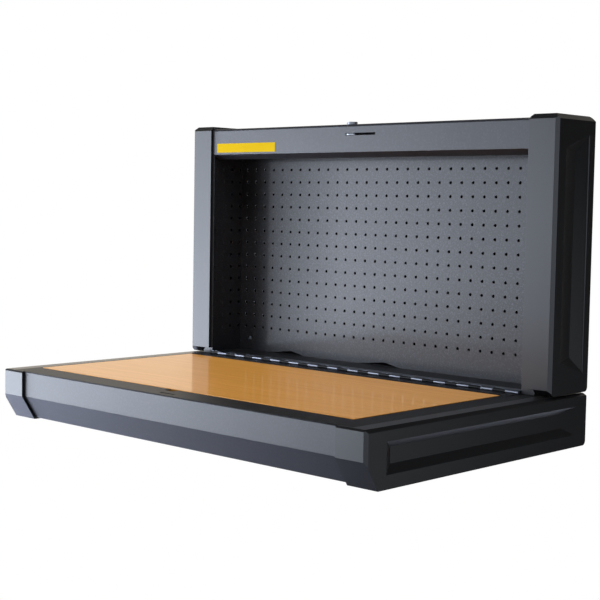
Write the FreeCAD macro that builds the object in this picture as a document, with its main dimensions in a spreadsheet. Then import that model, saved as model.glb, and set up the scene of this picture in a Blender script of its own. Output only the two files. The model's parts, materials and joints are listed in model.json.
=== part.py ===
"""Wall mounted folding workbench: a perforated steel cabinet and a worktop that folds up against it.

The frame: X to the right, +Y into the wall, +Z up, millimetres. The origin is the middle of the
four wall bolts, on the wall. The worktop is modelled open, level, on its stops.
"""
import FreeCAD, Part

import os
import re

import Sketcher

# Driving dimensions. Each goes into one cell of the sheet, under its own alias.
SIZES = {
    # whole object
    "outer_width": 880, "end_width": 60, "cabinet_depth": 115, "cabinet_height": 460,
    "sheet": 1.2, "seam": 0.4,
    # tool panel
    "peg_standoff": 29.6, "peg_pitch": 25, "peg_radius": 3, "peg_columns": 30, "peg_rows": 14,
    "peg_drop": 80.6, "relief_height": 7.5, "relief_short": 39, "relief_one": -232,
    "relief_one_long": 52, "relief_two": 16, "relief_two_long": 68,
    # uprights
    "upright_width": 33, "upright_strip": 4.5, "foot_gap": 1, "foot_notch": 7,
    "side_peg_inset": 9.4, "side_peg_pitch": 23.4, "side_peg_columns": 4,
    # top panel
    "cap_proud": 5, "fascia_height": 51.3, "lip_drop": 10, "lip_back": 14,
    "slot_left": -22.5, "slot_right": 49.5, "slot_height": 4.6,
    # wall mounting
    "bolt_inset_x": 30, "bolt_inset_z": 30, "bolt_radius": 4.5, "rail_height": 42,
    "rail_sheet": 1.5, "rail_end_inset": 5, "spacer_radius": 8,
    # upper end covers
    "cap_wall": 2, "cap_rise": 5.5, "cap_gap": 2, "cap_top_bevel": 8.5, "cap_side_bevel": 5.5,
    "cap_end_bevel": 4, "cap_foot_bevel": 10, "cap_back_radius": 8, "recess_depth": 6,
    "recess_front": 27, "recess_back": 98, "recess_half_front": 176.5, "recess_half_back": 201,
    "recess_floor_front": 64, "recess_floor_back": 96, "recess_shallow": 1.5,
    "recess_floor_half_front": 171, "recess_floor_half_back": 182,
    # hinge
    "hinge_height": 3.5, "knuckle_radius": 3.2, "pin_radius": 1.2, "pin_clearance": 0.05,
    "leaf_thickness": 1.2, "lower_leaf_width": 25, "upper_leaf_width": 20, "knuckle_pairs": 15,
    "hinge_end_gap": 1, "knuckle_gap": 0.4, "knuckle_clearance": 0.6, "window_depth": 7,
    "hinge_screws": 8, "hinge_screw_radius": 1.6, "hinge_screw_head": 3, "hinge_screw_inset": 8,
    "hinge_screw_margin": 62.5,
    # worktop
    "worktop_height": 90, "tray_recess": 5, "kink_drop": 46, "kink_setback": 27.5, "worktop_wall_gap": 1,
    "frame_sheet": 1.5, "wood_left_margin": 38, "wood_right_margin": 75,
    "wood_front_margin": 60, "wood_back_margin": 34, "wood_thickness": 18, "wood_proud": 0.6,
    "wood_gap": 2, "wood_round": 1, "notch_left": -38, "notch_right": -18, "notch_depth": 14,
    "lower_cap_wall": 3, "lower_cap_width": 58, "lower_cap_flange": 30, "lower_cap_bevel": 3,
    "lower_cap_side_bevel": 5, "lower_cap_top_bevel": 5,
    "lower_recess_front": 45, "lower_recess_back": 80, "lower_recess_high": 21,
    "lower_recess_low": 69, "lower_floor_front": 60, "lower_floor_back": 44,
    "lower_floor_high": 30, "lower_floor_low": 55,
    "side_rail_inset": 35, "side_rail_rear": 12, "brace_height": 30, "brace_width": 50,
    "brace_inset": 90,
    # lock
    "lock_x": -19.5, "lock_inset": 15, "lock_head_radius": 10, "lock_head_height": 5,
    "lock_body_radius": 8, "plug_radius": 5.5, "plug_clearance": 0.05, "cam_drop": 18.4,
    "cam_thickness": 2, "cam_hub_radius": 13.5, "cam_arm_width": 5, "cam_behind": 0.9,
    "cam_finger": 6, "cam_finger_width": 3.5, "cam_clearance": 0.4, "nut_flats": 22,
    "nut_height": 4, "key_slot_width": 1.2, "key_slot_length": 7, "key_slot_depth": 3,
    "keeper_width": 70, "keeper_depth": 30, "keeper_sheet": 2, "keeper_slot_right": 12,
    "keeper_slot_height": 4.4, "keeper_side_gap": 1.5,
    # small pieces
    "pad_x": 300, "pad_y": 20, "pad_radius": 8, "pad_gap": 0.3,
    "label_inset": 13.5, "label_length": 165.3, "label_low": 47.5, "label_high": 29.5,
    "label_thickness": 0.3, "screw_radius": 2, "screw_head_radius": 4, "screw_head": 2,
    "screw_clearance": 0.1, "wood_screw_depth": 12, "upright_screw_rows": 3,
    "cap_screw_rows": 3,
}

# Places that follow from the sizes.
PLACES = {
    "half": "outer_width / 2",
    "inner": "half - end_width",
    "front": "-1 * cabinet_depth",
    "face": "front + cap_proud",
    "top": "cabinet_height / 2",
    "deck": "-1 * cabinet_height / 2",
    "panel_front": "-1 * peg_standoff",
    "panel_back": "panel_front + sheet",
    "under_top": "top - sheet",
    "upright_out": "inner + upright_width",
    "upright_front": "face + sheet",
    "upright_foot": "deck + foot_gap",
    "foot_out": "upright_out - foot_notch",
    "cap_in": "inner + upright_strip",
    "cap_top": "top + cap_rise",
    "cap_low": "deck + cap_gap",
    "cap_middle": "(cap_top + cap_low) / 2",
    "hinge_z": "deck + hinge_height",
    "shelf_top": "hinge_z + knuckle_radius - leaf_thickness",
    "shelf_low": "shelf_top - sheet",
    "shelf_front": "front + knuckle_radius + knuckle_clearance",
    "hinge_half": "inner - hinge_end_gap",
    "knuckle": "hinge_half / knuckle_pairs",
    "first_hole": "-1 * peg_pitch * (peg_columns - 1) / 2",
    "low_row": "top - peg_drop - peg_pitch * (peg_rows - 1)",
    "bolt_x": "inner - bolt_inset_x",
    "bolt_z": "top - bolt_inset_z",
    "rail_half": "inner - rail_end_inset",
    "bench_front": "front - cabinet_height",
    "tray_front": "bench_front + tray_recess",
    "bench_back": "-1 * worktop_wall_gap",
    "bench_low": "deck - worktop_height",
    "kink_z": "deck - kink_drop",
    "slope": "kink_setback / (worktop_height - kink_drop)",
    "slant": "sqrt(1 + slope * slope)",
    "lower_in": "half - lower_cap_width",
    "lower_flange_in": "half - lower_cap_flange",
    "tray_half": "lower_in - seam",
    "tray_low": "bench_low + lower_cap_wall",
    "frame_low": "deck - frame_sheet",
    "wood_left": "-1 * half + wood_left_margin",
    "wood_right": "half - wood_right_margin",
    "wood_front": "bench_front + wood_front_margin",
    "wood_back": "front - wood_back_margin",
    "wood_top": "deck + wood_proud",
    "wood_low": "wood_top - wood_thickness",
    "front_brace_y": "wood_front + brace_inset",
    "rear_brace_y": "wood_back - brace_inset",
    "lock_y": "face + lock_inset",
    "cam_top": "top - cam_drop + cam_thickness / 2",
    "cam_low": "cam_top - cam_thickness",
    "cam_z": "top - cam_drop",
    "keeper_y": "front - (cam_z - hinge_z)",
    "cam_hook_y": "front - hinge_height - frame_sheet - keeper_sheet - cam_behind",
    "cam_reach": "lock_y - cam_hook_y + cam_finger_width",
    "keeper_slot_left": "lock_x - cam_arm_width / 2 - keeper_side_gap",
    "upper_screw_y": "front + upper_leaf_width - hinge_screw_inset",
    "lower_screw_y": "front - lower_leaf_width + hinge_screw_inset",
    "side_rail_front": "bench_front + side_rail_inset",
    "side_rail_back": "bench_back - side_rail_rear",
    "cap_screw_x": "(lower_in + lower_flange_in) / 2",
    "label_end": "label_inset - cap_in",
}

WORDS = re.compile(r"[a-z_]+")
PLANES = {"X": "YZ_Plane", "Y": "XZ_Plane", "Z": "XY_Plane"}
TURNS = {
    "X": FreeCAD.Rotation(FreeCAD.Vector(0, 1, 0), 90),
    "Y": FreeCAD.Rotation(FreeCAD.Vector(1, 0, 0), -90),
    "Z": FreeCAD.Rotation(),
}

doc = FreeCAD.newDocument("FoldingWorkbench")
cells = doc.addObject("Spreadsheet::Sheet", "Sizes")
for row, (alias, size) in enumerate(SIZES.items(), start=1):
    cells.set("A%d" % row, alias)
    cells.set("B%d" % row, str(size))
    cells.setAlias("B%d" % row, alias)
doc.recompute()
ruler = doc.addObject("Part::Box", "ruler")
nodes = {}


def spell(text):
    """Write a size or a place out in cells of the sheet."""
    def word(match):
        name = match.group(0)
        if name in PLACES:
            return "(" + spell(PLACES[name]) + ")"
        if name in SIZES:
            return "Sizes." + name
        return name
    return WORDS.sub(word, str(text))


def number(text):
    """The present value of a size or a place."""
    return float(ruler.evalExpression(spell(text)))


def bind(thing, **properties):
    """Tie properties of an object to the sheet."""
    for name, text in properties.items():
        thing.setExpression(name.replace("__", "."), spell(text))
    return thing


def node(name, thing):
    """Name a finished piece."""
    thing.Label = name
    nodes[name] = thing
    return thing


# ---------------------------------------------------------------- sketches and bodies

def pin_down(sketch, kind, geometry, point, text):
    """Constrain one coordinate of a sketch point to a formula."""
    index = sketch.addConstraint(Sketcher.Constraint(kind, geometry, point, number(text)))
    sketch.setExpression("Constraints[%d]" % index, spell(text))


def draw_outline(sketch, corners):
    """Draw a closed outline through corners given as pairs of formulas."""
    first = sketch.GeometryCount
    count = len(corners)
    places = [FreeCAD.Vector(number(u), number(v), 0) for u, v in corners]
    for index in range(count):
        sketch.addGeometry(Part.LineSegment(places[index], places[(index + 1) % count]))
    for index, (u, v) in enumerate(corners):
        after = first + (index + 1) % count
        sketch.addConstraint(Sketcher.Constraint("Coincident", first + index, 2, after, 1))
        pin_down(sketch, "DistanceX", first + index, 1, u)
        pin_down(sketch, "DistanceY", first + index, 1, v)


def draw_circle(sketch, u, v, radius):
    """Draw a circle from formulas for its centre and radius."""
    centre = FreeCAD.Vector(number(u), number(v), 0)
    index = sketch.addGeometry(Part.Circle(centre, FreeCAD.Vector(0, 0, 1), number(radius)))
    pin_down(sketch, "DistanceX", index, 3, u)
    pin_down(sketch, "DistanceY", index, 3, v)
    constraint = sketch.addConstraint(Sketcher.Constraint("Radius", index, number(radius)))
    sketch.setExpression("Constraints[%d]" % constraint, spell(radius))


def sketch_on(body, axis, at, outlines=(), circles=()):
    """A sketch across an axis, at a place along it."""
    sketch = body.newObject("Sketcher::SketchObject", body.Name + "_sketch")
    plane = [item for item in body.Origin.OriginFeatures if item.Role == PLANES[axis]][0]
    sketch.AttachmentSupport = [(plane, "")]
    sketch.MapMode = "FlatFace"
    side = "-1 * " if axis == "Y" else ""
    bind(sketch, AttachmentOffset__Base__z="%s(%s)" % (side, at))
    for corners in outlines:
        draw_outline(sketch, corners)
    for circle in circles:
        draw_circle(sketch, *circle)
    return sketch


def rectangle(u_low, u_high, v_low, v_high):
    """The four corners of a rectangle."""
    return [(u_low, v_low), (u_high, v_low), (u_high, v_high), (u_low, v_high)]


def pad(body, axis, low, high, outlines=(), circles=()):
    """Add material between two places along an axis."""
    start = high if axis == "Y" else low
    feature = body.newObject("PartDesign::Pad", body.Name + "_pad")
    feature.Profile = sketch_on(body, axis, start, outlines, circles)
    bind(feature, Length="(%s) - (%s)" % (high, low))
    return feature


def pocket(body, axis, low, high, outlines=(), circles=()):
    """Cut material away between two places along an axis."""
    start = low if axis == "Y" else high
    feature = body.newObject("PartDesign::Pocket", body.Name + "_pocket")
    feature.Profile = sketch_on(body, axis, start, outlines, circles)
    bind(feature, Length="(%s) - (%s)" % (high, low))
    return feature


def prism(name, axis, low, high, outlines=(), circles=()):
    """A body with one pad."""
    body = doc.addObject("PartDesign::Body", name)
    pad(body, axis, low, high, outlines, circles)
    return body


def repeat(body, feature, *rows):
    """Repeat a pocket along rows given as (sketch axis, pitch, count)."""
    whole = body.newObject("PartDesign::MultiTransform", body.Name + "_grid")
    whole.Originals = [feature]
    steps = []
    for axis, pitch, count in rows:
        step = body.newObject("PartDesign::LinearPattern", body.Name + "_row")
        step.Direction = (feature.Profile[0], [axis])
        bind(step, Length="(%s) * (%s - 1)" % (pitch, count), Occurrences=count)
        steps.append(step)
    whole.Transformations = steps
    body.Tip = whole
    return whole


# ---------------------------------------------------------------- primitives and booleans

def block(name, x_low, x_high, y_low, y_high, z_low, z_high):
    """A box between formulas for its sides."""
    box = doc.addObject("Part::Box", name)
    bind(box, Length="(%s) - (%s)" % (x_high, x_low), Width="(%s) - (%s)" % (y_high, y_low),
         Height="(%s) - (%s)" % (z_high, z_low))
    return bind(box, Placement__Base__x=x_low, Placement__Base__y=y_low, Placement__Base__z=z_low)


def rod(name, axis, radius, low, high, x, y, z):
    """A cylinder along an axis; the coordinate along that axis is its low end."""
    bar = doc.addObject("Part::Cylinder", name)
    bar.Placement = FreeCAD.Placement(FreeCAD.Vector(), TURNS[axis])
    base = {"x": x, "y": y, "z": z}
    base[axis.lower()] = low
    bind(bar, Radius=radius, Height="(%s) - (%s)" % (high, low))
    return bind(bar, Placement__Base__x=base["x"], Placement__Base__y=base["y"],
                Placement__Base__z=base["z"])


def fused(name, pieces):
    """Pieces joined into one solid."""
    whole = doc.addObject("Part::MultiFuse", name)
    whole.Shapes = pieces
    return whole


def common(name, pieces):
    """What all the pieces share."""
    whole = doc.addObject("Part::MultiCommon", name)
    whole.Shapes = pieces
    return whole


def cut(name, base, tool):
    """One piece with another cut away."""
    whole = doc.addObject("Part::Cut", name)
    whole.Base = base
    whole.Tool = tool
    return whole


def group(name, pieces):
    """Separate solids kept together as one node."""
    whole = doc.addObject("Part::Compound", name)
    whole.Links = pieces
    return node(name, whole)


def mirrored(name, source):
    """The left-hand twin of a right-hand piece."""
    twin = doc.addObject("Part::Mirroring", name)
    twin.Source = source
    twin.Normal = FreeCAD.Vector(1, 0, 0)
    return node(name, twin)


def pair(name, source):
    """Name a right-hand piece and its mirrored left-hand twin."""
    node("right_" + name, source)
    mirrored("left_" + name, source)


def headed_pin(name, axis, radius, head_radius, head_low, head_high, low, high, x, y, z):
    """A screw or rivet: a shank with one round head."""
    shank = rod(name + "_shank", axis, radius, low, high, x, y, z)
    head = rod(name + "_head", axis, head_radius, head_low, head_high, x, y, z)
    return fused(name, [shank, head])


def row_places(count_alias, low, high):
    """Evenly spaced places from low to high, one for each piece of a row."""
    count = int(number(count_alias))
    step = "((%s) - (%s)) / (%s - 1)" % (high, low, count_alias)
    return ["(%s) + %d * %s" % (low, index, step) for index in range(count)]


# ---------------------------------------------------------------- cabinet

def back_panel():
    """Perforated tool panel, standing on the shelf between the uprights' rear flanges."""
    notches = []
    for middle, before, after in (("relief_one", "relief_one_long", "relief_short"),
                                  ("relief_two", "relief_two_long", "relief_short")):
        notches += [("%s - %s" % (middle, before), "shelf_top"),
                    (middle, "shelf_top + relief_height"),
                    ("%s + %s" % (middle, after), "shelf_top")]
    outline = [("-1 * upright_out", "under_top"), ("-1 * upright_out", "shelf_top")]
    outline += notches + [("upright_out", "shelf_top"), ("upright_out", "under_top")]
    body = prism("back_panel_body", "Y", "panel_front", "panel_back", [outline])
    bolts = [("%d * bolt_x" % i, "%d * bolt_z" % k, "bolt_radius") for i in (-1, 1) for k in (-1, 1)]
    pocket(body, "Y", "panel_front", "panel_back", circles=bolts)
    screws = [("%d * (inner + upright_width / 2)" % side, z, "screw_radius + screw_clearance")
              for side in (-1, 1) for z in upright_screw_heights()]
    pocket(body, "Y", "panel_front", "panel_back", circles=screws)
    hole = pocket(body, "Y", "panel_front", "panel_back",
                  circles=[("first_hole", "low_row", "peg_radius")])
    repeat(body, hole, ("H_Axis", "peg_pitch", "peg_columns"), ("V_Axis", "peg_pitch", "peg_rows"))
    node("back_panel", body)


def upright_screw_heights():
    """Heights of the screws that join an upright to the tool panel."""
    return row_places("upright_screw_rows", "low_row", "top - peg_drop")


def uprights():
    """Folded channels, open outwards, whose webs line the cabinet's sides."""
    rear = "panel_front - sheet"
    outline = [("inner", "upright_front"), ("upright_out", "upright_front"),
               ("upright_out", "upright_front + sheet"), ("inner + sheet", "upright_front + sheet"),
               ("inner + sheet", rear), ("upright_out", rear),
               ("upright_out", "panel_front"), ("inner", "panel_front")]
    body = prism("upright_body", "Z", "upright_foot", "under_top", [outline])
    screws = [("inner + upright_width / 2", z, "screw_radius + screw_clearance")
              for z in upright_screw_heights()]
    pocket(body, "Y", rear, "panel_front", circles=screws)
    pocket(body, "Y", "upright_front", "upright_front + sheet",
           [rectangle("foot_out", "upright_out", "upright_foot", "cap_low + cap_foot_bevel + seam")])
    hole = pocket(body, "X", "inner", "inner + sheet",
                  circles=[("front + side_peg_inset", "low_row", "peg_radius")])
    repeat(body, hole, ("H_Axis", "side_peg_pitch", "side_peg_columns"),
           ("V_Axis", "peg_pitch", "peg_rows"))
    pair("upright", body)
    screws = []
    for side in (-1, 1):
        for index, height in enumerate(upright_screw_heights()):
            name = "upright_screw_%d_%d" % (side + 1, index)
            screws.append(headed_pin(name, "Y", "screw_radius", "screw_head_radius",
                                     rear + " - screw_head", rear, rear, "panel_back + screw_head",
                                     "%d * (inner + upright_width / 2)" % side, "0", height))
    group("upright_screws", screws)


def top_panel():
    """Top sheet with a turned-down fascia between the end covers, and a lip folded back under it."""
    flange = "cap_in - seam"
    tuck = crown_front()
    outline = [("-1 * (%s)" % flange, "face"), (flange, "face"), (flange, tuck),
               ("upright_out", tuck), ("upright_out", "-1 * cap_back_radius"),
               (flange, "-1 * cap_back_radius"), (flange, "0"), ("-1 * (%s)" % flange, "0"),
               ("-1 * (%s)" % flange, "-1 * cap_back_radius"),
               ("-1 * upright_out", "-1 * cap_back_radius"), ("-1 * upright_out", tuck),
               ("-1 * (%s)" % flange, tuck)]
    body = prism("top_panel_body", "Z", "under_top", "top", [outline])
    pad(body, "Y", "face", "face + sheet",
        [rectangle("-1 * (%s)" % flange, flange, "top - fascia_height", "top")])
    fold = "top - fascia_height"
    rise = "sheet * sqrt(1 + (lip_drop / lip_back) * (lip_drop / lip_back))"
    pad(body, "X", "-1 * (inner - seam)", "inner - seam",
        [[("face", fold), ("face + lip_back", fold + " - lip_drop"),
          ("face + lip_back", "%s - lip_drop + %s" % (fold, rise)),
          ("face", "%s + %s" % (fold, rise))]])
    pocket(body, "Y", "face", "face + sheet",
           [rectangle("slot_left", "slot_right", "cam_z - slot_height / 2",
                      "cam_z + slot_height / 2")])
    pocket(body, "Z", "under_top", "top",
           circles=[("lock_x", "lock_y", "lock_body_radius + screw_clearance")])
    node("top_panel", body)


def crown_front():
    """Where the top sheet can spread sideways behind the covers' top bevel."""
    return "front + cap_wall + cap_top_bevel"


def bottom_shelf():
    """Narrow shelf from the hinge to the wall, between the uprights."""
    body = prism("bottom_shelf_body", "Z", "shelf_low", "shelf_top",
                 [rectangle("-1 * inner", "inner", "shelf_front", "0")])
    pocket(body, "Z", "shelf_low", "shelf_top",
           circles=[(x, "upper_screw_y", "hinge_screw_radius + screw_clearance")
                    for x in hinge_screw_places()])
    node("bottom_shelf", body)


def wall_rails():
    """Channels that hold the tool panel off the wall and take the wall bolts."""
    for name, low, high in (("top_wall_rail", "under_top - rail_height", "under_top"),
                            ("bottom_wall_rail", "shelf_top", "shelf_top + rail_height")):
        outline = [("panel_back", low), ("0", low), ("0", high), ("panel_back", high),
                   ("panel_back", "(%s) - rail_sheet" % high),
                   ("-1 * rail_sheet", "(%s) - rail_sheet" % high),
                   ("-1 * rail_sheet", "(%s) + rail_sheet" % low),
                   ("panel_back", "(%s) + rail_sheet" % low)]
        body = prism(name + "_body", "X", "-1 * rail_half", "rail_half", [outline])
        height = "bolt_z" if name == "top_wall_rail" else "-1 * bolt_z"
        pocket(body, "Y", "-1 * rail_sheet", "0",
               circles=[("%d * bolt_x" % side, height, "bolt_radius") for side in (-1, 1)])
        node(name, body)
    sleeves = [("%d * bolt_x" % i, "%d * bolt_z" % k) for i in (-1, 1) for k in (-1, 1)]
    tubes = []
    for index, (x, z) in enumerate(sleeves):
        tube = prism("wall_spacer_%d" % index, "Y", "panel_back", "-1 * rail_sheet",
                     circles=[(x, z, "spacer_radius"), (x, z, "bolt_radius")])
        tubes.append(tube)
    group("wall_spacers", tubes)


# ---------------------------------------------------------------- moulded end covers

def bevelled(name, side, across, plan, x_low, x_high, y_low, y_high, z_low, z_high):
    """The solid that three outlines share: one along X, one along Y and one along Z."""
    return common(name, [prism(name + "_x", "X", x_low, x_high, [side]),
                         prism(name + "_y", "Y", y_low, y_high, [across]),
                         prism(name + "_z", "Z", z_low, z_high, [plan])])


def frustum(name, outline, floor):
    """A shallow pocket in the outer side, from its outline down to its smaller floor."""
    body = doc.addObject("PartDesign::Body", name)
    loft = body.newObject("PartDesign::AdditiveLoft", name + "_loft")
    loft.Profile = sketch_on(body, "X", "half", [outline])
    loft.Sections = [sketch_on(body, "X", "half - recess_depth", [floor])]
    loft.Ruled = True
    return body


def rounded_back(body, y, low, high):
    """Round the two back corners of a cover."""
    doc.recompute()
    pad_feature = body.Tip
    round_back = body.newObject("PartDesign::Fillet", body.Name + "_fillet")
    picked = []
    for index, edge in enumerate(pad_feature.Shape.Edges, start=1):
        middle = edge.CenterOfMass
        flat = abs(edge.BoundBox.YLength) + abs(edge.BoundBox.ZLength)
        at_corner = min(abs(middle.z - number(low)), abs(middle.z - number(high)))
        if flat < 0.01 and abs(middle.y - number(y)) < 0.01 and at_corner < 0.01:
            picked.append("Edge%d" % index)
    round_back.Base = (pad_feature, picked)
    bind(round_back, Radius="cap_back_radius")
    body.Tip = round_back


def upper_cover_form(name, wall, top_wall):
    """Outer or inner form of an upper end cover; the inner one lies a wall inside all round."""
    inset = "" if wall == "0" else " + " + wall
    y_front = "front" + inset
    x_out = "half - (%s)" % wall
    high = "cap_top - (%s)" % top_wall
    low = "cap_low + (%s)" % wall
    top_bevel = "cap_top_bevel - 0.4 * (%s)" % wall
    foot_bevel = "cap_foot_bevel - 0.4 * (%s)" % wall
    side_bevel = "cap_side_bevel - 0.4 * (%s)" % wall
    end_bevel = "cap_end_bevel - 0.4 * (%s)" % wall
    side = [(y_front, "(%s) + %s" % (low, foot_bevel)), ("(%s) + %s" % (y_front, foot_bevel), low),
            ("0", low), ("0", high), ("(%s) + %s" % (y_front, top_bevel), high),
            (y_front, "(%s) - (%s)" % (high, top_bevel))]
    x_in = "cap_in + (%s)" % wall
    across = [(x_in, low), (x_out, low), (x_out, "(%s) - (%s)" % (high, top_bevel)),
              ("(%s) - (%s)" % (x_out, top_bevel), high), ("(%s) + %s" % (x_in, end_bevel), high),
              (x_in, "(%s) - (%s)" % (high, end_bevel))]
    plan = [(x_in, y_front), ("(%s) - (%s)" % (x_out, side_bevel), y_front),
            (x_out, "(%s) + (%s)" % (y_front, side_bevel)), (x_out, "0"), (x_in, "0")]
    return bevelled(name, side, across, plan, x_in, x_out, y_front, "0", low, high)


def upper_covers():
    """Hollow covers over the uprights, open to the wall and towards the cabinet."""
    outside = upper_cover_form("upper_cover_out", "0", "0")
    rounded_back(doc.getObject("upper_cover_out_x"), "0", "cap_low", "cap_top")
    hollow = upper_cover_form("upper_cover_in", "cap_wall", "cap_rise")
    outline = [("front + recess_front", "cap_middle - recess_half_front"),
               ("front + recess_back", "cap_middle - recess_half_back"),
               ("front + recess_back", "cap_middle + recess_half_back"),
               ("front + recess_front", "cap_middle + recess_half_front")]
    floor = [("front + recess_floor_front", "cap_middle - recess_floor_half_front"),
             ("front + recess_floor_back", "cap_middle - recess_floor_half_back"),
             ("front + recess_floor_back", "cap_middle + recess_floor_half_back"),
             ("front + recess_floor_front", "cap_middle + recess_floor_half_front")]
    backing = block("upper_backing", "half - recess_depth - cap_wall", "half",
                    "front + recess_front - cap_wall", "front + recess_back + cap_wall",
                    "cap_middle - recess_half_back - cap_wall",
                    "cap_middle + recess_half_back + cap_wall")
    room = cut("upper_cover_room", hollow, backing)
    foot = block("upper_cover_foot", "cap_in", "foot_out + seam", "front", "0",
                 "cap_low", "cap_low + cap_foot_bevel")
    bay = block("upper_cover_bay", "cap_in", "upright_out + seam", "upright_front", "0",
                "cap_low", "under_top")
    crown = block("upper_cover_crown", "cap_in", "upright_out + seam", crown_front(),
                  "seam - cap_back_radius", "under_top", "top")
    rising = [("half - recess_depth", "front"), ("half - recess_depth", "front + recess_floor_front"),
              ("half - recess_shallow", "front + recess_floor_back"), ("half - recess_shallow", "0"),
              ("half", "0"), ("half", "front")]
    recess = common("upper_recess", [frustum("upper_recess_form", outline, floor),
                                     prism("upper_recess_plan", "Z", "cap_low", "cap_top", [rising])])
    tools = fused("upper_cover_cuts", [room, foot, bay, crown, recess])
    pair("upper_cap", cut("upper_cover_shell", outside, tools))


def lower_cover_form(name, wall, bevel, top_bevel, side_bevel):
    """Outer or inner form of a lower end cover, with its kinked front."""
    x_in = "lower_in + (%s)" % wall
    y_front = "bench_front + (%s)" % wall
    y_back = "bench_back - (%s)" % wall
    x_out = "half - (%s)" % wall
    high = "deck - (%s)" % wall
    low = "bench_low + (%s)" % wall
    kink = "kink_z + (%s) * (slant - 1) / slope" % wall
    foot = "bench_front + slope * (kink_z - (%s)) + slant * (%s)" % (low, wall)
    side = [(y_front, "(%s) - (%s)" % (high, bevel)), (y_front, kink), (foot, low),
            (y_back, low), (y_back, high), ("(%s) + (%s)" % (y_front, bevel), high)]
    across = [(x_in, low), (x_out, low), (x_out, "(%s) - (%s)" % (high, top_bevel)),
              ("(%s) - (%s)" % (x_out, top_bevel), high), (x_in, high)]
    plan = [(x_in, y_front), ("(%s) - (%s)" % (x_out, side_bevel), y_front),
            (x_out, "(%s) + (%s)" % (y_front, side_bevel)), (x_out, y_back), (x_in, y_back)]
    return bevelled(name, side, across, plan, x_in, x_out, y_front, y_back, low, high)


def lower_covers():
    """Hollow covers over the worktop's ends, open towards the tray."""
    outside = lower_cover_form("lower_cover_out", "0", "lower_cap_bevel", "lower_cap_top_bevel",
                               "lower_cap_side_bevel")
    rounded_back(doc.getObject("lower_cover_out_x"), "bench_back", "bench_low", "deck")
    shrink = " - 0.4 * lower_cap_wall"
    hollow = lower_cover_form("lower_cover_in", "lower_cap_wall", "lower_cap_bevel" + shrink,
                              "lower_cap_top_bevel" + shrink, "lower_cap_side_bevel" + shrink)
    outline = rectangle("bench_front + lower_recess_front", "front + lower_recess_back",
                        "deck - lower_recess_low", "deck - lower_recess_high")
    floor = rectangle("bench_front + lower_floor_front", "front + lower_floor_back",
                      "deck - lower_floor_low", "deck - lower_floor_high")
    backing = block("lower_backing", "half - recess_depth - lower_cap_wall", "half",
                    "bench_front + lower_recess_front - lower_cap_wall",
                    "front + lower_recess_back + lower_cap_wall",
                    "deck - lower_recess_low - lower_cap_wall",
                    "deck - lower_recess_high + lower_cap_wall")
    room = cut("lower_cover_room", hollow, backing)
    bay = prism("lower_cover_bay", "X", "lower_in", "lower_in + lower_cap_wall", [tray_profile()])
    window = block("lower_cover_window", "lower_in", "lower_flange_in", "tray_front",
                   "bench_back - lower_cap_wall", "deck - lower_cap_wall", "deck + lower_cap_wall")
    holes = [rod("lower_cap_hole_%d" % index, "Z", "screw_radius + screw_clearance",
                 "bench_low", "tray_low", "cap_screw_x", y, "0")
             for index, y in enumerate(cap_screw_places())]
    tools = [room, bay, window, frustum("lower_recess", outline, floor)] + holes
    pair("lower_cap", cut("lower_cover_shell", outside, fused("lower_cover_cuts", tools)))


def cap_screw_places():
    """Places along Y of the screws under each lower cover."""
    return row_places("cap_screw_rows", "side_rail_front + wood_front_margin",
                      "side_rail_back - wood_front_margin")


# ---------------------------------------------------------------- hinge

def hinge_screw_places():
    """Places along X of the hinge's screws and rivets."""
    return row_places("hinge_screws", "-1 * hinge_half + hinge_screw_margin",
                      "hinge_half - hinge_screw_margin")


def hinge_leaf(name, y_low, y_high, z_low, z_high, window, first, screw_y):
    """A leaf with its knuckles; windows are cut where the other leaf's knuckles turn."""
    body = prism(name + "_body", "X", "-1 * hinge_half", "hinge_half",
                 [rectangle(y_low, y_high, z_low, z_high)])
    pad(body, "X", "-1 * hinge_half", "hinge_half", circles=[("front", "hinge_z", "knuckle_radius")])
    pocket(body, "X", "-1 * hinge_half", "hinge_half",
           circles=[("front", "hinge_z", "pin_radius + pin_clearance")])
    pocket(body, "Z", z_low, z_high,
           circles=[(x, screw_y, "hinge_screw_radius + screw_clearance")
                    for x in hinge_screw_places()])
    start = "-1 * hinge_half + (%d) * knuckle - knuckle_gap / 2" % first
    opening = pocket(body, "Z", "hinge_z - knuckle_radius - leaf_thickness",
                     "hinge_z + knuckle_radius + leaf_thickness",
                     [rectangle(start, "%s + knuckle + knuckle_gap" % start, *window)])
    repeat(body, opening, ("H_Axis", "2 * knuckle", "knuckle_pairs"))
    node(name, body)


def hinge():
    """Piano hinge between the shelf's front edge and the worktop's steel frame."""
    reach = "knuckle_radius + knuckle_clearance"
    hinge_leaf("upper_hinge_leaf", "front", "front + upper_leaf_width", "shelf_top",
               "shelf_top + leaf_thickness", ("front - (%s)" % reach, "front + " + reach), 0,
               "upper_screw_y")
    hinge_leaf("lower_hinge_leaf", "front - lower_leaf_width", "front", "deck",
               "deck + leaf_thickness", ("front - window_depth", "front + " + reach), 1,
               "lower_screw_y")
    node("hinge_pin", rod("hinge_pin_rod", "X", "pin_radius", "-1 * hinge_half", "hinge_half",
                          "0", "front", "hinge_z"))
    rivets = []
    screws = []
    for index, x in enumerate(hinge_screw_places()):
        rivets.append(headed_pin("hinge_rivet_%d" % index, "Z", "hinge_screw_radius",
                                 "hinge_screw_head", "shelf_low - leaf_thickness", "shelf_low",
                                 "shelf_low", "shelf_top + leaf_thickness", x, "upper_screw_y", "0"))
        screws.append(headed_pin("hinge_screw_%d" % index, "Z", "hinge_screw_radius",
                                 "hinge_screw_head", "frame_low - leaf_thickness", "frame_low",
                                 "frame_low", "deck + leaf_thickness", x, "lower_screw_y", "0"))
    group("upper_hinge_rivets", rivets)
    group("lower_hinge_screws", screws)


# ---------------------------------------------------------------- worktop

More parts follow.
